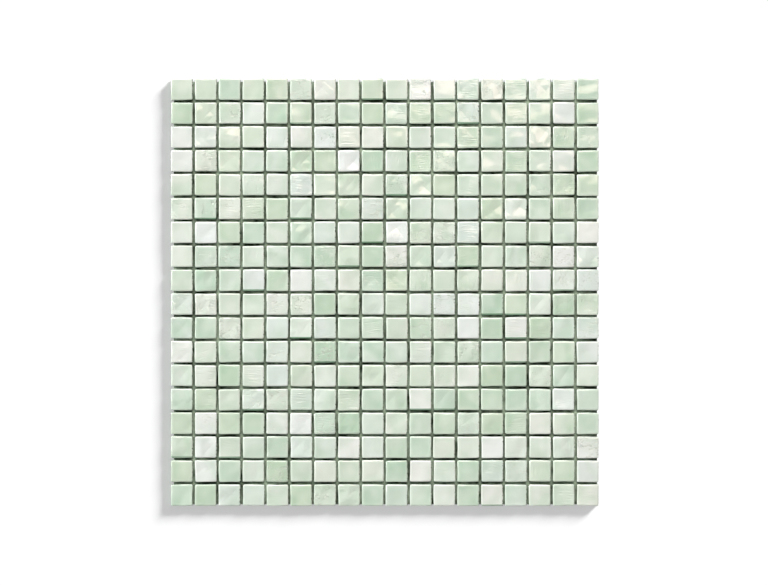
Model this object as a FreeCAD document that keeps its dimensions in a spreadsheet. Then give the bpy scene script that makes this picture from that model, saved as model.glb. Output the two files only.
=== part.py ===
import FreeCAD, Part
import Sketcher
import os
import random

# Mosaic tile sheet: small square glass tiles in a square grid, glued face up on one thin backing net.
# Millimetres. +Z is the tiled face and +Y is up the sheet. The origin is the middle of the back.

# The glass comes as one blend of shades, from nearly white to light green. Shares are in percent.
BLEND = {
    "pearl_tiles": 13,
    "mist_tiles": 20,
    "celadon_tiles": 24,
    "mint_tiles": 27,
    "jade_tiles": 16,
}
# Well stirred: this draw deals every shade to all four edges of the sheet.
BLEND_SEED = 310

doc = FreeCAD.newDocument("mosaic_tile_sheet")


# Driving dimensions

SIZES = {
    "tile_side": 15.0,
    "tile_thickness": 4.0,
    "joint_width": 1.5,
    "tiles_across": 18,
    "tiles_down": 18,
    "corner_cut": 0.8,
    "cushion_edge": 0.9,
    "net_thickness": 0.5,
    "net_inset": 0.8,
}


def fill_sheet(sizes):
    """One row for each size: its name in column A, and its value in column B under that alias."""
    sheet = doc.addObject("Spreadsheet::Sheet", "sizes")
    for row, (name, value) in enumerate(sizes.items(), start=1):
        sheet.set(f"A{row}", name)
        sheet.set(f"B{row}", str(value))
        sheet.setAlias(f"B{row}", name)
    doc.recompute()
    return sheet


sheet = fill_sheet(SIZES)

# The grid repeats at one tile and one joint, and these are the expressions that place and size things by it.
PITCH = "(sizes.tile_side + sizes.joint_width)"
SHEET_WIDTH = f"(sizes.tiles_across * {PITCH} - sizes.joint_width)"
SHEET_HEIGHT = f"(sizes.tiles_down * {PITCH} - sizes.joint_width)"


# Sketches and edges

def centred_rectangle(body, name, width, height):
    """A rectangle on the body's XY plane, symmetric about its origin, whose two sides follow expressions.

    It is drawn as a square of any size, and the expressions then set its width and height.
    """
    sketch = body.newObject("Sketcher::SketchObject", name)
    plane = next(f for f in body.Origin.OriginFeatures if f.Role == "XY_Plane")
    sketch.AttachmentSupport = (plane, [""])
    sketch.MapMode = "FlatFace"
    half = 1.0
    corners = [FreeCAD.Vector(x * half, y * half, 0) for x, y in ((-1, -1), (1, -1), (1, 1), (-1, 1))]
    start, end, origin = 1, 2, -1
    for side in range(4):
        sketch.addGeometry(Part.LineSegment(corners[side], corners[(side + 1) % 4]), False)
    for side in range(4):
        sketch.addConstraint(Sketcher.Constraint("Coincident", side, end, (side + 1) % 4, start))
        level = "Horizontal" if side % 2 == 0 else "Vertical"
        sketch.addConstraint(Sketcher.Constraint(level, side))
    sketch.addConstraint(Sketcher.Constraint("Symmetric", 0, start, 2, start, origin, 1))
    for side, kind, label, size in ((0, "DistanceX", "width", width), (1, "DistanceY", "height", height)):
        index = sketch.addConstraint(Sketcher.Constraint(kind, side, start, side, end, 2 * half))
        sketch.renameConstraint(index, label)
        sketch.setExpression(f"Constraints.{label}", size)
    return sketch


def edge_names(shape, wanted):
    """The names of the edges of a shape whose two end points satisfy a test."""
    names = []
    for number, edge in enumerate(shape.Edges, start=1):
        first, last = (vertex.Point for vertex in edge.Vertexes)
        if wanted(first, last):
            names.append(f"Edge{number}")
    return names


# One glass tile, its back on the XY plane

# Lengths closer than this are the same
NEAR = 1e-6


def is_upright(first, last):
    """Whether the edge between two points runs along Z."""
    return abs(first.x - last.x) < NEAR and abs(first.y - last.y) < NEAR


def make_tile():
    """A square slab of glass with its upright corners cut, and its face cushioned all round by a bevel."""
    body = doc.addObject("PartDesign::Body", "glass_tile")
    outline = centred_rectangle(body, "tile_outline", "sizes.tile_side", "sizes.tile_side")
    slab = body.newObject("PartDesign::Pad", "tile_slab")
    slab.Profile = outline
    slab.setExpression("Length", "sizes.tile_thickness")
    doc.recompute()

    corners = body.newObject("PartDesign::Chamfer", "tile_corners")
    corners.Base = (slab, edge_names(slab.Shape, is_upright))
    corners.setExpression("Size", "sizes.corner_cut")
    doc.recompute()

    cushion = body.newObject("PartDesign::Chamfer", "tile_cushion")
    face = corners.Shape.BoundBox.ZMax
    rim = edge_names(corners.Shape, lambda first, last: min(first.z, last.z) > face - NEAR)
    cushion.Base = (corners, rim)
    cushion.setExpression("Size", "sizes.cushion_edge")
    body.Tip = cushion
    doc.recompute()
    return body


tile = make_tile()


# The tiles of each shade, laid on the net one pitch apart

def shade_of(row, column):
    """The shade at one place of the grid, drawn from the blend. It depends on the place alone."""
    draw = random.Random(f"{BLEND_SEED} {row} {column}")
    return draw.choices(list(BLEND), weights=list(BLEND.values()))[0]


def lay_tile(row, column):
    """A linked copy of the tile in its row, counted down the sheet, and its column, counted across it."""
    laid = doc.addObject("App::Link", f"tile_{row + 1}_{column + 1}")
    laid.LinkedObject = tile
    laid.setExpression("Placement.Base.x", f"({column} - (sizes.tiles_across - 1) / 2) * {PITCH}")
    laid.setExpression("Placement.Base.y", f"((sizes.tiles_down - 1) / 2 - {row}) * {PITCH}")
    laid.setExpression("Placement.Base.z", "sizes.net_thickness")
    return laid


def lay_sheet():
    """One compound for each shade, holding its own tiles as separate solids."""
    laid = {shade: [] for shade in BLEND}
    for row in range(int(sheet.tiles_down)):
        for column in range(int(sheet.tiles_across)):
            laid[shade_of(row, column)].append(lay_tile(row, column))
    groups = []
    for shade, tiles in laid.items():
        group = doc.addObject("Part::Compound", shade)
        group.Links = tiles
        groups.append(group)
    return groups


shades = lay_sheet()


# The backing net in its adhesive, one thin sheet trimmed a little inside the outer tiles

def make_net():
    """A flat film under all the tiles, in which the net's threads and the adhesive are one."""
    body = doc.addObject("PartDesign::Body", "backing_net")
    outline = centred_rectangle(
        body,
        "net_outline",
        f"{SHEET_WIDTH} - 2 * sizes.net_inset",
        f"{SHEET_HEIGHT} - 2 * sizes.net_inset",
    )
    film = body.newObject("PartDesign::Pad", "net_film")
    film.Profile = outline
    film.setExpression("Length", "sizes.net_thickness")
    return body


net = make_net()
doc.recompute()


# Checks and files

def check(pieces):
    """Stops the build if any object failed, or a piece has no valid shape."""
    failed = [o.Label for o in doc.Objects if {"Invalid", "Error"} & set(o.State)]
    empty = [p.Label for p in pieces if p.Shape.isNull() or not p.Shape.isValid()]
    if failed or empty:
        raise RuntimeError(f"failed objects {failed}, pieces with no valid shape {empty}")


pieces = [net] + shades
check(pieces)
os.makedirs("parts", exist_ok=True)
for piece in pieces:
    piece.Shape.exportStep(f"parts/{piece.Label}.step")
    box = piece.Shape.BoundBox
    print(piece.Label, len(piece.Shape.Solids), "solids", round(piece.Shape.Volume, 2), "mm3", box)
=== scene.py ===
import math

import bpy
import numpy as np
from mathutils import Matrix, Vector


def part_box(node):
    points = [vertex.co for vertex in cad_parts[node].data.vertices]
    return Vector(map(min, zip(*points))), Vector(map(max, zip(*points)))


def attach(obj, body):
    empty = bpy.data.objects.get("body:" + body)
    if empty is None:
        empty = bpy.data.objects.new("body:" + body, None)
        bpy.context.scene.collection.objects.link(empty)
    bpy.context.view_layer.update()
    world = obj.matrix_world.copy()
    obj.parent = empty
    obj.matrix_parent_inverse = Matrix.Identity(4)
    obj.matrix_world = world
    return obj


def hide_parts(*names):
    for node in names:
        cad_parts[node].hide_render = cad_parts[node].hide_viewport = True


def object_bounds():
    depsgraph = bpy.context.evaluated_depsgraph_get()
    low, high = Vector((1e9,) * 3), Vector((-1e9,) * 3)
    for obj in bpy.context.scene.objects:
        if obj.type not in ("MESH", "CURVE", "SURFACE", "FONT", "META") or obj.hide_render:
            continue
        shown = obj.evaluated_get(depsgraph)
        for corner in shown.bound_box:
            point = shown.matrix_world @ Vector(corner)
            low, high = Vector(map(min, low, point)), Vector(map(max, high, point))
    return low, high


# Mosaic tile sheet: 18 by 18 small glass tiles, glued face up on one thin backing net.
# Metres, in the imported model's frame. +Z is the tiled face and +Y is up the sheet.

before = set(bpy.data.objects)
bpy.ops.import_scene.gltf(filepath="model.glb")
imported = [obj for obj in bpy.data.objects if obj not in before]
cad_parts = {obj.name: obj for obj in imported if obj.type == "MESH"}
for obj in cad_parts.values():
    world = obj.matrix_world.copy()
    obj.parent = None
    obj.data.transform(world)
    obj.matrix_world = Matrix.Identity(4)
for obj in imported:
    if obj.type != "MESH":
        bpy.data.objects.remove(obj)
cad_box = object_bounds()


# The backing net
#
# A woven glass-fibre net under all the tiles, bedded in the adhesive that bonds it to their backs.
# The adhesive dries to a thin, slightly uneven film, which is the floor of every joint.

MM = 0.001
# From the middle of one tile to the middle of the next
PITCH = 16.5 * MM

# The net is cut a little short of the tiles, and shortest on the left and at the top
SHORT_ON_LEFT = 0.8 * MM
SHORT_AT_TOP = 1.4 * MM
NET_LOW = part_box("backing_net")[0] + Vector((SHORT_ON_LEFT, 0, 0))
NET_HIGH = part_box("backing_net")[1] - Vector((0, SHORT_AT_TOP, 0))

NET_MESH = 4.9 * MM
THREAD_WIDTH = 0.55 * MM
THREAD_THICKNESS = 0.16 * MM

# How far above the sheet's back the film's own back lies, how far it waves, and its points along a side
FILM_BACK = 0.2 * MM
FILM_WAVE = 0.04 * MM
FILM_STEPS = 96

# In pitches from a joint's middle line: a point nearer than the first is in it, one past the second is not
IN_JOINT = 0.04
PAST_JOINT = 0.12

# Every piece of the object, for the lamps that light it
PIECES = []


def new_piece(name, points, faces, material, slot, *nodes):
    """A mesh piece of the object, with its vertices where they lie, standing for the CAD nodes named."""
    mesh = bpy.data.meshes.new(name)
    mesh.from_pydata(points.reshape(-1, 3).tolist(), [], faces)
    mesh.polygons.foreach_set("use_smooth", np.ones(len(mesh.polygons), bool))
    mesh.materials.append(material)
    piece = bpy.data.objects.new(name, mesh)
    bpy.context.scene.collection.objects.link(piece)
    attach(piece, "root")
    if nodes:
        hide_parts(*nodes)
    PIECES.append(piece)
    return piece


def linear(code):
    """An sRGB hex colour as the linear one that a shader takes, with full alpha."""
    shares = [int(code[i:i + 2], 16) / 255 for i in (1, 3, 5)]
    return [s / 12.92 if s <= 0.04045 else ((s + 0.055) / 1.055) ** 2.4 for s in shares] + [1.0]


def add_node(tree, kind, inputs=(), **settings):
    """A node of a kind, with its settings and its inputs, which are given in order or by name.

    An input takes a value, a socket to link from, or a node, which stands for its first output in use.
    The inputs of a Map Range node are a value, the two ends of its range, and what they are carried to.
    """
    node = tree.nodes.new(kind)
    for name, value in settings.items():
        setattr(node, name, value)
    for name, value in inputs.items() if isinstance(inputs, dict) else enumerate(inputs):
        if isinstance(value, bpy.types.Node):
            value = next(socket for socket in value.outputs if socket.enabled)
        if isinstance(value, bpy.types.NodeSocket):
            tree.links.new(value, node.inputs[name])
        else:
            node.inputs[name].default_value = value
    return node


# A colour mix's inputs: the share of the colour laid over, the colour under it, and the colour laid over
SHARE, UNDER, OVER = 0, 6, 7


def new_material(name):
    """An empty material, its node tree, and the socket that its surface shader goes into."""
    material = bpy.data.materials.new(name)
    material.use_nodes = True
    material.node_tree.nodes.clear()
    output = add_node(material.node_tree, "ShaderNodeOutputMaterial")
    return material, material.node_tree, output.inputs["Surface"]


def dried_adhesive():
    """Water-based mosaic adhesive, rolled on and dried: matt, and pale on the back, which is pressed flat.

    Where it lies open in the joints it is painted dark, as shade, and blotchy. It is painted paler
    where four tiles meet, at whole numbers of pitches from the sheet's middle, as painted light, and
    darker in the joints that run across the sheet, as painted shade from the tiles above them.
    """
    material, tree, surface = new_material("dried_adhesive")
    place = add_node(tree, "ShaderNodeTexCoord").outputs["Object"]
    blotches = {"Vector": place, "Scale": 1 / (24 * MM), "Detail": 6.0, "Roughness": 0.65}
    blotches = add_node(tree, "ShaderNodeTexNoise", blotches)
    blotches = add_node(tree, "ShaderNodeMapRange", [blotches, 0.36, 0.66, 0.0, 1.0])

    # How far a point is from the nearest joint that runs up, and from the nearest that runs across
    per_pitch = (1 / PITCH, 1 / PITCH, 0)
    pitches = add_node(tree, "ShaderNodeVectorMath", [place, per_pitch], operation="MULTIPLY")
    across, up, _ = add_node(tree, "ShaderNodeSeparateXYZ", [pitches]).outputs
    from_upright = add_node(tree, "ShaderNodeMath", [across, 0.5], operation="PINGPONG")
    from_level = add_node(tree, "ShaderNodeMath", [up, 0.5], operation="PINGPONG")
    from_meeting = add_node(tree, "ShaderNodeMath", [from_upright, from_level], operation="MAXIMUM")
    # Painted light: the joint's floor is painted paler where four tiles meet, where more light reaches it
    crossing_light = add_node(tree, "ShaderNodeMapRange", [from_meeting, IN_JOINT, PAST_JOINT, 0.16, 0.0])
    # Painted shade: darker in the joints that run across the sheet, shaded by the tiles above them
    across_shade = add_node(tree, "ShaderNodeMapRange", [from_upright, IN_JOINT, PAST_JOINT, 0.0, -0.15])
    # The blotchy tone, with the painted light and the painted shade laid on it
    blotches_light_and_shade = add_node(tree, "ShaderNodeMath", [blotches, crossing_light], operation="ADD")
    blotches_light_and_shade = add_node(tree, "ShaderNodeMath", [blotches_light_and_shade, across_shade], operation="ADD")

    # The front, painted dark as shade in the joints, gives way to the back's tones under the film's top
    shaded_front = {SHARE: blotches_light_and_shade, UNDER: linear("#182E12"), OVER: linear("#C8E0C5")}
    shaded_front = add_node(tree, "ShaderNodeMix", shaded_front, data_type="RGBA")
    back = {SHARE: blotches_light_and_shade, UNDER: linear("#B9C7B6"), OVER: linear("#CBD7C7")}
    back = add_node(tree, "ShaderNodeMix", back, data_type="RGBA")
    height = add_node(tree, "ShaderNodeSeparateXYZ", [place]).outputs["Z"]
    is_open = [height, NET_HIGH.z - 0.15 * MM, NET_HIGH.z - 0.05 * MM, 0.0, 1.0]
    is_open = add_node(tree, "ShaderNodeMapRange", is_open)
    tone = {SHARE: is_open, UNDER: back, OVER: shaded_front}
    tone = add_node(tree, "ShaderNodeMix", tone, data_type="RGBA")

    # Grit of half a millimetre, which shows close up
    grit = add_node(tree, "ShaderNodeTexNoise", {"Vector": place, "Scale": 1 / (0.5 * MM), "Detail": 3.0})
    relief = add_node(tree, "ShaderNodeBump", {"Height": grit, "Strength": 0.6, "Distance": 0.08 * MM})
    finish = {"Base Color": tone, "Roughness": 0.75, "Normal": relief}
    tree.links.new(add_node(tree, "ShaderNodeBsdfPrincipled", finish).outputs[0], surface)
    return material


def glass_yarn():
    """Coated glass-fibre yarn: white, slightly shiny, and ribbed by its filaments.

    The filaments are a hundredth of a millimetre thick, too fine to show, and are drawn as grain of 0.3 mm.
    """
    material, tree, surface = new_material("glass_fibre_yarn")
    place = add_node(tree, "ShaderNodeTexCoord").outputs["Object"]
    filaments = {"Vector": place, "Scale": 1 / (0.3 * MM), "Detail": 4.0}
    filaments = add_node(tree, "ShaderNodeTexNoise", filaments)
    tone = {SHARE: filaments, UNDER: linear("#C9CCC4"), OVER: linear("#F1F2EE")}
    tone = add_node(tree, "ShaderNodeMix", tone, data_type="RGBA")
    relief = add_node(tree, "ShaderNodeBump", {"Height": filaments, "Strength": 0.5, "Distance": 0.05 * MM})
    finish = {"Base Color": tone, "Roughness": 0.45, "Normal": relief}
    tree.links.new(add_node(tree, "ShaderNodeBsdfPrincipled", finish).outputs[0], surface)
    return material


def grid_faces(rows, columns, closed=False):
    """The quads of a grid of points, counterclockwise seen from where columns run right and rows run up.

    A point's index is its row times the number of columns, plus its column. In a closed grid the last
    column is joined to the first.
    """
    i, j = np.meshgrid(np.arange(rows - 1), np.arange(columns if closed else columns - 1), indexing="ij")
    k = (j + 1) % columns
    quads = np.stack([i * columns + j, i * columns + k, (i + 1) * columns + k, (i + 1) * columns + j], -1)
    return quads.reshape(-1, 4)


def film():
    """The adhesive film: a closed slab with a level top, whose back swells and sinks in slow waves.

    The back's height is the wave's height times the mean of three sines: one of x, shifted to and fro by a
    sine of y, one of y, and one of x plus y.
    """
    x = np.linspace(NET_LOW.x, NET_HIGH.x, FILM_STEPS)
    y = np.linspace(NET_LOW.y, NET_HIGH.y, FILM_STEPS)
    y, x = np.meshgrid(y, x, indexing="ij")
    across = np.sin(x / (9 * MM) + 2 * np.sin(y / (23 * MM)))
    up = np.sin(y / (7 * MM))
    slanting = np.sin((x + y) / (13 * MM))
    back = np.stack([x, y, NET_LOW.z + FILM_BACK + FILM_WAVE * (across + up + slanting) / 3], -1)
    top = np.stack([x, y, np.full_like(x, NET_HIGH.z)], -1)

    # Once round the edge of the back: its first row, its last column, its last row and its first column
    step = np.arange(FILM_STEPS)
    last = FILM_STEPS - 1
    rim = np.concatenate([
        step[:-1],
        step[:-1] * FILM_STEPS + last,
        last * FILM_STEPS + step[:0:-1],
        step[:0:-1] * FILM_STEPS,
    ])
    after = np.roll(rim, -1)
    count = FILM_STEPS * FILM_STEPS
    sides = np.stack([rim, after, after + count, rim + count], -1)
    cells = grid_faces(FILM_STEPS, FILM_STEPS)
    return np.stack([back, top]), np.concatenate([cells[:, ::-1], cells + count, sides]).tolist()


def threads():
    """The net's threads. Each is a flat diamond section carried along a line that rises and dips.

    The line's height is a cosine with one half wave for each crossing. The weft's has the opposite sign, so
    that the threads pass over and under each other in turn.
    """
    middle = (NET_LOW + NET_HIGH) / 2
    half = (NET_HIGH.x - NET_LOW.x) / 2
    count = int(2 * half / NET_MESH)
    places = (np.arange(count) - (count - 1) / 2) * NET_MESH
    along = np.linspace(-half, half, 2 * count + 1)
    section = np.array([(-0.5, 0.0), (0.0, -0.5), (0.5, 0.0), (0.0, 0.5)])
    indices = np.arange(count), np.arange(len(along)), np.arange(len(section))
    number, station, corner = np.meshgrid(*indices, indexing="ij")
    crossing = along[station] / NET_MESH + (count - 1) / 2
    rise = 0.5 * THREAD_THICKNESS * np.cos(math.pi * (crossing + number))
    level = NET_LOW.z + THREAD_THICKNESS + THREAD_THICKNESS * section[corner, 1]
    beside = places[number] + THREAD_WIDTH * section[corner, 0]
    warp = np.stack([middle.x + along[station], middle.y + beside, level + rise], -1)
    up = along[station] * (NET_HIGH.y - NET_LOW.y) / (2 * half)
    weft = np.stack([middle.x + beside, middle.y + up, level - rise], -1)

    # A thread's wall and its two ends. The warp's are turned the other way out, because it runs along x.
    wall = grid_faces(len(along), len(section), closed=True)
    last = len(section) * (len(along) - 1)
    thread = np.concatenate([wall, [[0, 1, 2, 3], [last + 3, last + 2, last + 1, last]]])
    size = len(section) * len(along)
    faces = (thread + size * np.arange(count)[:, None, None]).reshape(-1, 4)
    faces = np.concatenate([faces[:, ::-1], faces + size * count])
    return np.concatenate([warp.reshape(-1, 3), weft.reshape(-1, 3)]), faces.tolist()


new_piece("adhesive_film", *film(), dried_adhesive(), "backing_net", "backing_net")
new_piece("net_threads", *threads(), glass_yarn(), "backing_net")


# The glass tiles
#
# Opalescent glass, white that has not quite mixed into green, poured in a slab and cut into squares.
# Firing them rounds each face into a soft cushion, and leaves the cut sides a little ragged.

TILE_SIDE = 15.0 * MM
TILE_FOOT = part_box("jade_tiles")[0].z
TILE_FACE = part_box("jade_tiles")[1].z
SHEET_LOW, SHEET_HIGH = cad_box
FIRST_CENTRE = np.array(SHEET_LOW[:2]) + TILE_SIDE / 2
LAST_CENTRE = np.array(SHEET_HIGH[:2]) - TILE_SIDE / 2

# The rings of points round a tile, from its back up: half their width, and how far they lie under its top
RINGS = ((7.5 * MM, 4.0 * MM), (7.44 * MM, 0.75 * MM), (7.34 * MM, 0.30 * MM), (7.08 * MM, 0.03 * MM))
CORNER_RADIUS = 0.9 * MM
# Half the width of the flat inside of the face
FLAT = 6.2 * MM

# How much further out than its rings a tile reaches: above its back on the left and at the top, where it
# is less far, and above its side at the foot
LEFT_OUT = 0.08 * MM
TOP_OUT = -0.09 * MM
FOOT_OUT = 0.06 * MM

# The face sinks by this much in its middle, and by these shares of it at the nine points of its inside
DISH = 0.10 * MM
DISH_SHARES = np.array([0, 0.4, 0, 0.4, 1, 0.4, 0, 0.4, 0])

# How unlike each other the tiles are, each size being the most that a random amount comes to
SETTLING = 0.20 * MM
TURN = math.radians(0.5)
OUTLINE_WAVE = 0.18 * MM
CUSHION_SHIFT = 0.16 * MM
FACE_WAVE = 0.07 * MM
TILT = math.radians(1.2)

# Each shade of the blend: the green it is made with, and how milky the poured white leaves it
SHADES = {
    "pearl": {"clear": "#D6E3D8", "milk": "#EAF0EC"},
    "mist": {"clear": "#CBDDCC", "milk": "#E2ECE3"},
    "celadon": {"clear": "#C3D9C4", "milk": "#DBE8DB"},
    "mint": {"clear": "#BBD5BD", "milk": "#D4E4D3"},
    "jade": {"clear": "#B5D1B6", "milk": "#CDE0CB"},
}

# The share of the tiles cut along the pour, not across it, and the spread of the cuts' angles, in radians
ALONG_POUR = 0.75
CUT_SPREAD = 0.12
# How milky the tiles are and how much that spreads, and the most unmixed white in one
MILKINESS = 0.5
MILKINESS_SPREAD = 0.16
WHITEST = 0.12
# The shares of the tiles with each mark of the making, and last, with a bottom painted dark as shade
STREAKED = 0.3
WRINKLED = 0.2
PITTED = 0.04
DENTED = 0.25
SHADED_BOTTOMS = 0.08

# Another seed gives every tile another outline and other marks. Its shade and its place come from the CAD.
SHEET_SEED = 15
rng = np.random.default_rng(SHEET_SEED)

# The places in a 5 by 5 grid: round its outside, counterclockwise from its lower left, and inside it
AROUND = np.array([0, 1, 2, 3, 4, 9, 14, 19, 24, 23, 22, 21, 20, 15, 10, 5])
INSIDE = np.array([6, 7, 8, 11, 12, 13, 16, 17, 18])

# Where the rings are among a tile's points, from its back up, and then the inside of its face
ROUND = len(AROUND)
BACK, SIDE, CUSHION, RIM = (slice(ROUND * ring, ROUND * (ring + 1)) for ring in range(len(RINGS)))
INNER = slice(RIM.stop, RIM.stop + len(INSIDE))


def square_grid(half, near_corner):
    """The 5 by 5 plan points of a square, on lines at its sides, near its corners, and at its middle."""
    line = np.array([-half, -near_corner, 0, near_corner, half])
    y, x = np.meshgrid(line, line, indexing="ij")
    return np.stack([x, y], -1).reshape(-1, 2)


def one_tile():
    """One tile, 73 points and 65 faces: its back, three bands up its side and cushion, and its face.

    A ring is the outside of a square's grid, with each corner, every fourth point, drawn in onto the arc of
    the corner's radius. The face is a grid too: the last ring outside, and nine points on its flat inside.
    """
    height = TILE_FACE - TILE_FOOT
    points = []
    for half, drop in RINGS:
        ring = square_grid(half, half - CORNER_RADIUS)[AROUND]
        ring[::4] -= np.sign(ring[::4]) * CORNER_RADIUS * (1 - math.sqrt(0.5))
        points.append(np.column_stack([ring, np.full(ROUND, height - drop)]))
    flat = square_grid(RINGS[-1][0], FLAT)[INSIDE]
    points.append(np.column_stack([flat, np.full(len(INSIDE), height)]))
    points = np.concatenate(points)
    points[SIDE.start:, 0] -= LEFT_OUT * (points[SIDE.start:, 0] < 0)
    points[SIDE.start:, 1] += TOP_OUT * (points[SIDE.start:, 1] > 0)
    points[CUSHION.start:, 1] -= FOOT_OUT * (points[CUSHION.start:, 1] < 0)
    points[INNER, 2] -= DISH * DISH_SHARES

    step = np.arange(ROUND)
    after = (step + 1) % ROUND
    band = np.stack([step, after, after + ROUND, step + ROUND], -1)
    bands = (band + ROUND * np.arange(len(RINGS) - 1)[:, None, None]).reshape(-1, 4)
    place = np.empty(ROUND + len(INSIDE), int)
    place[AROUND] = RIM.start + step
    place[INSIDE] = INNER.start + np.arange(len(INSIDE))
    back = step[::-1]
    return points, np.concatenate([bands, place[grid_faces(5, 5)]]), back


def tile_centres(node):
    """The centres of a shade's tiles, one row each, read from its CAD node.

    Every corner of a tile lies within half a side of its centre, so its distance from the sheet's first
    centre, counted in pitches, rounds to the tile's place in the grid.
    """
    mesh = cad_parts[node].data
    corners = np.empty(len(mesh.vertices) * 3, np.float32)
    mesh.vertices.foreach_get("co", corners)
    places = np.rint((corners.reshape(-1, 3)[:, :2] - FIRST_CENTRE) / PITCH)
    return FIRST_CENTRE + np.unique(places, axis=0) * PITCH


def laid_tiles(tile, centres):
    """Every tile of a shade, with its own outline, cushion and face, set down at its centre.

    The outline bulges by a random share at each of its points. The cushion slides over, and the face sinks
    at each of its points, by random amounts. The tile leans, and is lowered until nothing is above the
    face's level. It is turned, and it settles a little off its place on the net.

    The tray that the sheet is laid in has a straight rim, which the outermost tiles lie against: they
    settle outwards only, and whatever would pass the sheet's box is pressed flat to it.
    """
    count = len(centres)
    points = np.repeat(tile[None], count, 0)
    bulge = 1 + rng.uniform(-1, 1, (count, ROUND, 1)) * OUTLINE_WAVE / (TILE_SIDE / 2)
    for ring in (BACK, SIDE, CUSHION):
        points[:, ring, :2] *= bulge
    slide = rng.uniform(-1, 1, (count, 1, 2)) * CUSHION_SHIFT
    points[:, CUSHION, :2] += slide / 2
    points[:, RIM.start:, :2] += slide
    points[:, RIM, 2] += rng.uniform(-1, 0, (count, ROUND)) * FACE_WAVE / 3
    points[:, INNER, 2] += rng.uniform(-1, 0, (count, len(INSIDE))) * FACE_WAVE
    lean = rng.uniform(-1, 1, (count, 1, 2)) * math.tan(TILT)
    lowering = np.abs(lean).sum(-1) * TILE_SIDE / 2
    points[:, SIDE.start:, 2] += (points[:, SIDE.start:, :2] * lean).sum(-1) - lowering
    angle = rng.uniform(-1, 1, (count, 1)) * TURN
    x, y = points[..., 0].copy(), points[..., 1].copy()
    points[..., 0] = x * np.cos(angle) - y * np.sin(angle)
    points[..., 1] = x * np.sin(angle) + y * np.cos(angle)
    settling = rng.uniform(-1, 1, (count, 2)) * SETTLING
    outermost = np.abs(centres) > LAST_CENTRE - PITCH / 2
    settling = np.where(outermost, np.abs(settling) * np.sign(centres), settling)
    points[..., :2] += (centres + settling)[:, None]
    points[..., 2] += TILE_FOOT
    return np.clip(points, np.array(SHEET_LOW), np.array(SHEET_HIGH))


def poured_white(tree, melt, streaking):
    """Where the white lies in the glass: its clouds, its streaks, and the patches that the streaks keep to.

    The clouds are wider than a tile. The streaks are a millimetre wide, drawn out eight times as long along
    the pour, and only streaked tiles have them.
    """
    clouds = {"Vector": melt, "Scale": 1 / (18 * MM), "Detail": 1.0, "Roughness": 0.4, "Distortion": 0.7}
    clouds = add_node(tree, "ShaderNodeTexNoise", clouds)
    clouds = add_node(tree, "ShaderNodeMapRange", [clouds, 0.2, 0.8, -0.8, 0.8])
    patches = add_node(tree, "ShaderNodeTexNoise", {"Vector": melt, "Scale": 1 / (6 * MM), "Detail": 1.0})
    patches = add_node(tree, "ShaderNodeMapRange", [patches, 0.42, 0.55, 0.0, 1.0])
    drawn = add_node(tree, "ShaderNodeVectorMath", [melt, (0.12, 1.0, 1.0)], operation="MULTIPLY")
    streaks = {"Vector": drawn, "Scale": 1 / (1.0 * MM), "Detail": 2.0}
    streaks = add_node(tree, "ShaderNodeTexNoise", streaks)
    streaks = add_node(tree, "ShaderNodeMapRange", [streaks, 0.35, 0.65, -1.0, 1.0])
    streaks = add_node(tree, "ShaderNodeMath", [streaks, patches], operation="MULTIPLY")
    streaks = add_node(tree, "ShaderNodeMath", [streaks, streaking], operation="MULTIPLY")
    return clouds, streaks, patches


def fired_marks(tree, melt, grains, patches, wrinkling, pitting):
    """What firing left on some tiles, each as a share: pits, and in wrinkled places fold lines and creases.

    Pits are the tops of the grains, in the patches. A fold is a thin line, where a noise drawn out along
    the pour crosses its middle value, and creases are the ridges of a finer one. The folds are painted
    darker as shade, and the pits darker with dirt and shade.
    """
    pits = add_node(tree, "ShaderNodeMapRange", [grains, 0.58, 0.68, 0.0, 1.0])
    pits = add_node(tree, "ShaderNodeMath", [pits, patches], operation="MULTIPLY")
    pits = add_node(tree, "ShaderNodeMath", [pits, pitting], operation="MULTIPLY")
    wrinkled = {"Vector": melt, "Scale": 1 / (5 * MM), "Detail": 1.0, "Distortion": 1.0}
    wrinkled = add_node(tree, "ShaderNodeTexNoise", wrinkled)
    wrinkled = add_node(tree, "ShaderNodeMapRange", [wrinkled, 0.46, 0.56, 0.0, 1.0])
    wrinkled = add_node(tree, "ShaderNodeMath", [wrinkled, wrinkling], operation="MULTIPLY")
    drawn = add_node(tree, "ShaderNodeVectorMath", [melt, (0.4, 1.0, 1.0)], operation="MULTIPLY")
    shaded_folds = {"Vector": drawn, "Scale": 1 / (2.2 * MM), "Detail": 2.0, "Roughness": 0.6, "Distortion": 0.6}
    shaded_folds = add_node(tree, "ShaderNodeTexNoise", shaded_folds)
    shaded_folds = add_node(tree, "ShaderNodeMath", [shaded_folds, 0.5], operation="SUBTRACT")
    shaded_folds = add_node(tree, "ShaderNodeMath", [shaded_folds], operation="ABSOLUTE")
    shaded_folds = add_node(tree, "ShaderNodeMapRange", [shaded_folds, 0.0, 0.045, 1.0, 0.0])
    shaded_folds = add_node(tree, "ShaderNodeMath", [shaded_folds, wrinkled], operation="MULTIPLY")
    creases = {"Vector": drawn, "Scale": 1 / (1.3 * MM), "Detail": 2.0, "Distortion": 1.6}
    creases = add_node(
        tree, "ShaderNodeTexNoise", creases, noise_type="RIDGED_MULTIFRACTAL", normalize=True,
    )
    creases = add_node(tree, "ShaderNodeMath", [wrinkled, creases], operation="MULTIPLY")
    return pits, shaded_folds, creases


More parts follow.
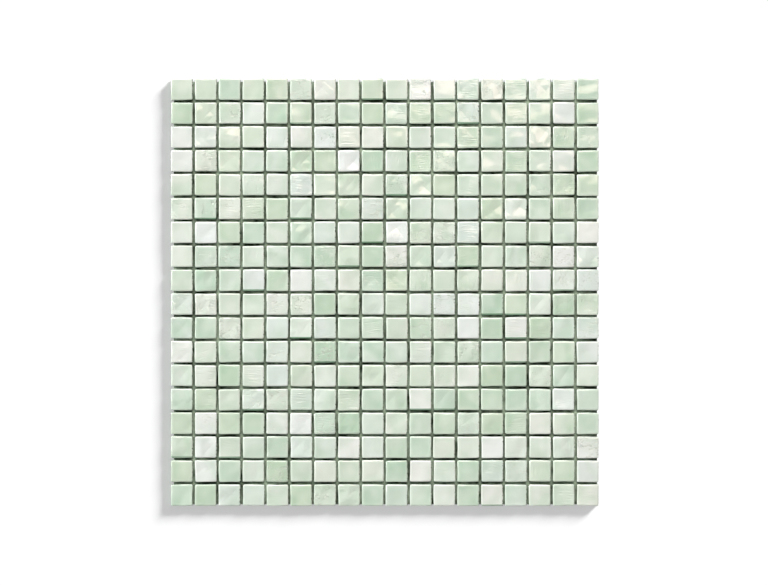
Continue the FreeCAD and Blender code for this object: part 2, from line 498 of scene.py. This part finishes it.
def edge_marks(tree, spot, grains, bottom_shading):
    """A tile's edges, each as a share: painted rim highlight, bottom shade, shaded nicks, chips, deep sides.

    The rim is painted paler, as a highlight: a faint wide band on the face, a strong one where the face
    turns down, and neither a millimetre below. A few tiles have their bottom side, away from the light,
    painted dark green, as shade. Along the right side, nicks that follow the grains are painted dark, as
    shade, and chips follow the grains as relief. The sides are painted deep green: the glass's own depth,
    and painted shade in the joints.
    """
    across, up, height = add_node(tree, "ShaderNodeSeparateXYZ", [spot]).outputs
    below = add_node(tree, "ShaderNodeMath", [TILE_FACE - TILE_FOOT, height], operation="SUBTRACT")
    from_right = add_node(tree, "ShaderNodeMath", [TILE_SIDE / 2, across], operation="SUBTRACT")
    outward = add_node(tree, "ShaderNodeVectorMath", [spot], operation="ABSOLUTE")
    outward_x, outward_y, _ = add_node(tree, "ShaderNodeSeparateXYZ", [outward]).outputs
    outward = add_node(tree, "ShaderNodeMath", [outward_x, outward_y], operation="MAXIMUM")
    # Painted highlight: the rim painted paler, faint over a wide band and strong where the face turns down
    wide = add_node(tree, "ShaderNodeMapRange", [outward, 4.5 * MM, 7.0 * MM, 0.0, 0.2])
    strong = add_node(tree, "ShaderNodeMapRange", [below, 0.02 * MM, 0.3 * MM, 0.0, 0.5])
    fading = add_node(tree, "ShaderNodeMapRange", [below, 0.3 * MM, 1.0 * MM, 1.0, 0.0])
    wide = add_node(tree, "ShaderNodeMath", [wide, fading], operation="MULTIPLY")
    strong = add_node(tree, "ShaderNodeMath", [strong, fading], operation="MULTIPLY")
    rim = add_node(tree, "ShaderNodeMath", [wide, strong], operation="MAXIMUM")
    # Painted shade: on a few tiles the bottom side, away from the light, painted dark green
    shaded_bottom = add_node(tree, "ShaderNodeMapRange", [up, -6.2 * MM, -6.4 * MM, 0.0, 1.0])
    shaded_bottom = add_node(tree, "ShaderNodeMath", [shaded_bottom, bottom_shading], operation="MULTIPLY")
    # Painted shade: dark nicks that follow the grains along the right side, the side away from the light
    shaded_nicks = add_node(tree, "ShaderNodeMath", [grains, -2.8 * MM, from_right], operation="MULTIPLY_ADD")
    shaded_nicks = add_node(tree, "ShaderNodeMapRange", [shaded_nicks, -1.33 * MM, -1.45 * MM, 0.0, 1.0])
    chips = add_node(tree, "ShaderNodeMapRange", [from_right, 0.2 * MM, 0.9 * MM, 1.0, 0.0])
    chips = add_node(tree, "ShaderNodeMath", [chips, grains], operation="MULTIPLY")
    # The sides painted deep green below the face: the glass's own depth, and painted shade in the joints
    depth_and_shade = add_node(tree, "ShaderNodeMapRange", [below, 0.4 * MM, 3.4 * MM, 0.0, 1.0])
    return rim, shaded_bottom, shaded_nicks, chips, depth_and_shade


def opal_glass(name, clear, milk):
    """Opalescent glass, cut and fire polished: glossy, clouded, and on some tiles streaked or wrinkled.

    The melt attribute is where the tile's glass lay in the pour, and spot is the place on the tile, both
    in metres. The batch attribute is how milky and how warm the glass is, and how much white is in it.
    The finish attribute is how streaked, wrinkled and pitted the tile is, and dents_and_bottom_shade is how
    dented its face is, and how much painted shade lies on its bottom side.
    """
    material, tree, surface = new_material(name)
    melt, spot, batch, finish, dents_and_bottom_shade = (
        add_node(tree, "ShaderNodeAttribute", attribute_name=read).outputs["Vector"]
        for read in ("melt", "spot", "batch", "finish", "dents_and_bottom_shade")
    )
    milkiness, warmth, whiteness = add_node(tree, "ShaderNodeSeparateXYZ", [batch]).outputs
    streaking, wrinkling, pitting = add_node(tree, "ShaderNodeSeparateXYZ", [finish]).outputs
    denting, bottom_shading, _ = add_node(tree, "ShaderNodeSeparateXYZ", [dents_and_bottom_shade]).outputs

    # Seeds and bubbles in the glass, of about a millimetre
    grains = add_node(tree, "ShaderNodeTexNoise", {"Vector": melt, "Scale": 1 / (0.9 * MM), "Detail": 2.0})
    clouds, streaks, patches = poured_white(tree, melt, streaking)
    pits, shaded_folds, creases = fired_marks(tree, melt, grains, patches, wrinkling, pitting)
    rim, shaded_bottom, shaded_nicks, chips, depth_and_shade = edge_marks(tree, spot, grains, bottom_shading)

    # The green goes milky in the clouds and the streaks, and each tile's batch tints it cool or warm
    milky = add_node(tree, "ShaderNodeMath", [milkiness, clouds], operation="ADD")
    milky = add_node(tree, "ShaderNodeMath", [streaks, 0.12, milky], operation="MULTIPLY_ADD")
    body = {SHARE: milky, UNDER: linear(clear), OVER: linear(milk)}
    body = add_node(tree, "ShaderNodeMix", body, data_type="RGBA")
    tint = {SHARE: warmth, UNDER: linear("#F8FDFF"), OVER: linear("#FFFEFB")}
    tint = add_node(tree, "ShaderNodeMix", tint, data_type="RGBA")
    tinted = {SHARE: 1.0, UNDER: body, OVER: tint}
    body = add_node(tree, "ShaderNodeMix", tinted, data_type="RGBA", blend_type="MULTIPLY")
    # Laid over the body: unmixed white; the folds painted darker as shade, and the pits with dirt and shade;
    # the rim painted paler, as a highlight; and the bottom of some tiles, the right side's nicks and the
    # sides painted dark green, as shade, the sides also for the glass's own depth
    for share, colour in (
        (whiteness, "#FFFFFF"), (shaded_folds, "#D0DBCC"), (pits, "#A9B9A7"), (rim, "#F4FAEF"),
        (shaded_bottom, "#7FA487"), (shaded_nicks, "#2E4230"), (depth_and_shade, "#3F5E45"),
    ):
        layers = {SHARE: share, UNDER: body, OVER: linear(colour)}
        body = add_node(tree, "ShaderNodeMix", layers, data_type="RGBA")

    # Every tile has slow ripples, and a dented one has faces with straight sides, pressed in at a slant
    ripples = {"Vector": melt, "Scale": 1 / (11 * MM), "Detail": 0.5, "Roughness": 0.4, "Distortion": 0.3}
    ripples = add_node(tree, "ShaderNodeTexNoise", ripples)
    dents = add_node(
        tree, "ShaderNodeTexVoronoi", {"Vector": melt, "Scale": 1 / (11 * MM), "Smoothness": 0.35},
        voronoi_dimensions="2D", distance="CHEBYCHEV", feature="SMOOTH_F1",
    )
    dents = add_node(tree, "ShaderNodeMath", [dents, denting], operation="MULTIPLY")
    sunk_folds = add_node(tree, "ShaderNodeMath", [shaded_folds, -1.0], operation="MULTIPLY")
    sunk_pits = add_node(tree, "ShaderNodeMath", [pits, -1.0], operation="MULTIPLY")
    normal = add_node(tree, "ShaderNodeNewGeometry").outputs["Normal"]
    for relief, rise in (
        (ripples, 0.8 * MM), (dents, 1.1 * MM), (streaks, 0.055 * MM), (creases, 0.3 * MM),
        (sunk_folds, 0.2 * MM), (sunk_pits, 0.2 * MM), (chips, 0.4 * MM),
    ):
        normal = add_node(tree, "ShaderNodeBump", {"Height": relief, "Distance": rise, "Normal": normal})
    polish = {"Base Color": body, "Roughness": 0.13, "IOR": 1.52, "Specular IOR Level": 0.8}
    polish["Normal"] = normal
    tree.links.new(add_node(tree, "ShaderNodeBsdfPrincipled", polish).outputs[0], surface)
    return material


def set_attribute(mesh, name, values):
    """A vector at every point of a mesh, which its material reads by name."""
    attribute = mesh.attributes.new(name, "FLOAT_VECTOR", "POINT")
    attribute.data.foreach_set("vector", np.ascontiguousarray(values, np.float32).ravel())


def some(share, count):
    """A random strength, from a half to one, for a share of the tiles, and none for the others."""
    return (rng.uniform(0, 1, count) < share) * rng.uniform(0.5, 1, count)


def lay_shade(shade, colours):
    """The tiles of one shade as one piece, smooth but for the edge round each back."""
    node = f"{shade}_tiles"
    centres = tile_centres(node)
    count = len(centres)
    tile, quads, back = one_tile()
    size = len(tile)
    starts = size * np.arange(count)
    points = laid_tiles(tile, centres)
    faces = (quads + starts[:, None, None]).reshape(-1, 4).tolist() + (back + starts[:, None]).tolist()
    glass = opal_glass(f"{shade}_opal_glass", **colours)
    mesh = new_piece(f"{shade}_glass_tiles", points, faces, glass, f"{shade}_glass", node).data

    # Each tile was cut from its own place in the pour, which is metres long
    cut = rng.choice([0, math.pi / 2], (count, 1), p=[ALONG_POUR, 1 - ALONG_POUR])
    cut = cut + rng.normal(0, CUT_SPREAD, (count, 1))
    x = tile[:, 0] * np.cos(cut) - tile[:, 1] * np.sin(cut)
    y = tile[:, 0] * np.sin(cut) + tile[:, 1] * np.cos(cut)
    z = np.repeat(tile[None, :, 2], count, 0)
    set_attribute(mesh, "melt", np.stack([x, y, z], -1) + rng.uniform(-1, 1, (count, 1, 3)))
    set_attribute(mesh, "spot", np.repeat(tile[None], count, 0))
    milkiness = rng.normal(MILKINESS, MILKINESS_SPREAD, count)
    batch = [milkiness, rng.uniform(0, 1, count), rng.uniform(0, WHITEST, count)]
    finish = [some(STREAKED, count), some(WRINKLED, count), some(PITTED, count)]
    # How dented each tile is, and how much painted shade lies on its bottom side
    dents_and_bottom_shade = [some(DENTED, count), some(SHADED_BOTTOMS, count), np.zeros(count)]
    for name, values in (("batch", batch), ("finish", finish), ("dents_and_bottom_shade", dents_and_bottom_shade)):
        set_attribute(mesh, name, np.repeat(np.stack(values, -1)[:, None], size, 1))

    ends = np.empty(len(mesh.edges) * 2, np.int32)
    mesh.edges.foreach_get("vertices", ends)
    at_foot = (ends.reshape(-1, 2) % size < BACK.stop).all(1)
    mesh.attributes.new("sharp_edge", "BOOLEAN", "EDGE").data.foreach_set("value", at_foot)


for shade, colours in SHADES.items():
    lay_shade(shade, colours)


# Floor, light and camera
#
# A pale floor under a soft studio light, brightest from the top and the left of the sheet.
# A camera looks straight down, as the photograph does.

FLOOR_SIDE = 8.0
FLOOR_GAP = 0.1 * MM

# How bright the room is overhead and at the horizon, and how fast it falls off between them
ZENITH_LEVEL = 0.10
HORIZON_LEVEL = 0.93
GLOW_POWER = 3.0

# The sheet is this wide in the photograph's 768 by 585 pixels, and its middle is at this pixel
PHOTO_SIZE = (768, 585)
SHEET_PIXELS = 427.6
SHEET_CENTRE = (384.8, 292.1)
# The camera's height above the sheet's back in metres, and the width of its sensor in millimetres
CAMERA_HEIGHT = 1.8
SENSOR_WIDTH = 36.0


def pale_floor():
    """Seamless background paper, rolled smooth and left uncoated: matt, with the faintest mottling."""
    material, tree, surface = new_material("background_paper")
    place = add_node(tree, "ShaderNodeTexCoord").outputs["Object"]
    mottle = add_node(tree, "ShaderNodeTexNoise", {"Vector": place, "Scale": 1 / (25 * MM), "Detail": 3.0})
    tone = {SHARE: mottle, UNDER: linear("#F4F4F4"), OVER: linear("#F8F8F8")}
    tone = add_node(tree, "ShaderNodeMix", tone, data_type="RGBA")
    tree.links.new(add_node(tree, "ShaderNodeBsdfDiffuse", [tone]).outputs[0], surface)
    return material


def make_floor():
    """A square floor round the origin, just under the sheet."""
    half = FLOOR_SIDE / 2
    mesh = bpy.data.meshes.new("floor")
    corners = [(x * half, y * half, -FLOOR_GAP) for x, y in ((-1, -1), (1, -1), (1, 1), (-1, 1))]
    mesh.from_pydata(corners, [], [(0, 1, 2, 3)])
    mesh.materials.append(pale_floor())
    floor = bpy.data.objects.new("floor", mesh)
    bpy.context.scene.collection.objects.link(floor)
    return floor


def lit_group(name, objects):
    """A collection of the objects that a lamp lights."""
    group = bpy.data.collections.new(name)
    for lit in objects:
        group.objects.link(lit)
    return group


def hang(name, kind, azimuth, elevation, receivers):
    """A lamp of a kind, turned towards the origin, that lights the receivers alone, and the way to it.

    Azimuth is counted from +X towards +Y, and both angles are in degrees.
    """
    a, e = math.radians(azimuth), math.radians(elevation)
    towards = Vector((math.cos(a) * math.cos(e), math.sin(a) * math.cos(e), math.sin(e)))
    light = bpy.data.objects.new(name, bpy.data.lights.new(name, kind))
    light.rotation_mode = "QUATERNION"
    light.rotation_quaternion = towards.to_track_quat("Z", "Y")
    light.visible_camera = False
    light.light_linking.receiver_collection = receivers
    bpy.context.scene.collection.objects.link(light)
    return light, towards


def softbox(name, azimuth, elevation, distance, width, height, level, tint="#FFFFFF"):
    """A rectangular lamp over the sheet, some way off.

    Its level is how bright a white surface in the middle of the sheet is under it alone, which is its power
    times the sine of its elevation, over pi squared and the distance squared.
    """
    light, towards = hang(name, "AREA", azimuth, elevation, the_sheet)
    light.location = towards * distance
    light.data.shape = "RECTANGLE"
    light.data.size, light.data.size_y = width, height
    light.data.energy = level * math.pi ** 2 * distance ** 2 / math.sin(math.radians(elevation))
    light.data.color = linear(tint)[:3]


def floor_sun(name, azimuth, elevation, spread, level):
    """A sun for the floor alone, whose disc is the spread wide, in degrees.

    Its level is how bright a white floor is under it alone: its strength times the sine of its elevation,
    over pi.
    """
    light, _ = hang(name, "SUN", azimuth, elevation, the_floor)
    light.data.angle = math.radians(spread)
    light.data.energy = level * math.pi / math.sin(math.radians(elevation))


def room_glow():
    """The light of a pale room: it falls off from the horizon up with a power of one less the height.

    The height is the sine of the elevation, and below the horizon the glow stays as it is there.
    """
    world = bpy.data.worlds.new("studio")
    world.use_nodes = True
    tree = world.node_tree
    tree.nodes.clear()
    way = add_node(tree, "ShaderNodeTexCoord").outputs["Generated"]
    height = add_node(tree, "ShaderNodeSeparateXYZ", [way]).outputs["Z"]
    down = add_node(tree, "ShaderNodeMath", [1.0, height], operation="SUBTRACT")
    glow = add_node(tree, "ShaderNodeMath", [down, GLOW_POWER], operation="POWER")
    glow = {"Value": glow, "To Min": ZENITH_LEVEL, "To Max": HORIZON_LEVEL}
    glow = add_node(tree, "ShaderNodeMapRange", glow)
    room = add_node(tree, "ShaderNodeBackground", {"Color": linear("#FFFFFF"), "Strength": glow})
    add_node(tree, "ShaderNodeOutputWorld", {"Surface": room})
    return world


the_sheet = lit_group("the_sheet", PIECES)
the_floor = lit_group("the_floor", [make_floor()])

# Two large softboxes light the faces. A small one draws the left rims, and a near one the upper glare.
softbox("top_softbox", azimuth=90, elevation=45, distance=8.0, width=2.2, height=6.4, level=0.32)
softbox("left_softbox", azimuth=156, elevation=27, distance=8.0, width=5.2, height=3.6, level=0.49)
softbox("rim_softbox", azimuth=172, elevation=60, distance=4.0, width=0.6, height=0.16, level=0.02)
softbox(
    "glare_softbox", azimuth=70, elevation=69.5, distance=1.4, width=0.8, height=0.34, level=0.18,
    tint="#FFDBD0",
)

# The floor's own light falls straight down, and a low sun from the upper right draws the sheet's soft shadow
floor_sun("floor_light", azimuth=0, elevation=89.9, spread=1, level=0.41)
floor_sun("shadow_sun", azimuth=45, elevation=17.5, spread=18, level=0.54)

bpy.context.scene.world = room_glow()

# The picture is as wide as its pixels are at the level of the tiles' faces
pixel = (SHEET_HIGH.x - SHEET_LOW.x) / SHEET_PIXELS
camera = bpy.data.objects.new("camera", bpy.data.cameras.new("camera"))
camera.data.sensor_width = SENSOR_WIDTH
camera.data.lens = SENSOR_WIDTH * (CAMERA_HEIGHT - TILE_FACE) / (PHOTO_SIZE[0] * pixel)
camera.data.clip_end = 50.0
camera.location = (
    (PHOTO_SIZE[0] / 2 - SHEET_CENTRE[0]) * pixel,
    (SHEET_CENTRE[1] - PHOTO_SIZE[1] / 2) * pixel,
    CAMERA_HEIGHT,
)
bpy.context.scene.collection.objects.link(camera)
bpy.context.scene.camera = camera
bpy.context.scene.view_settings.view_transform = "Standard"
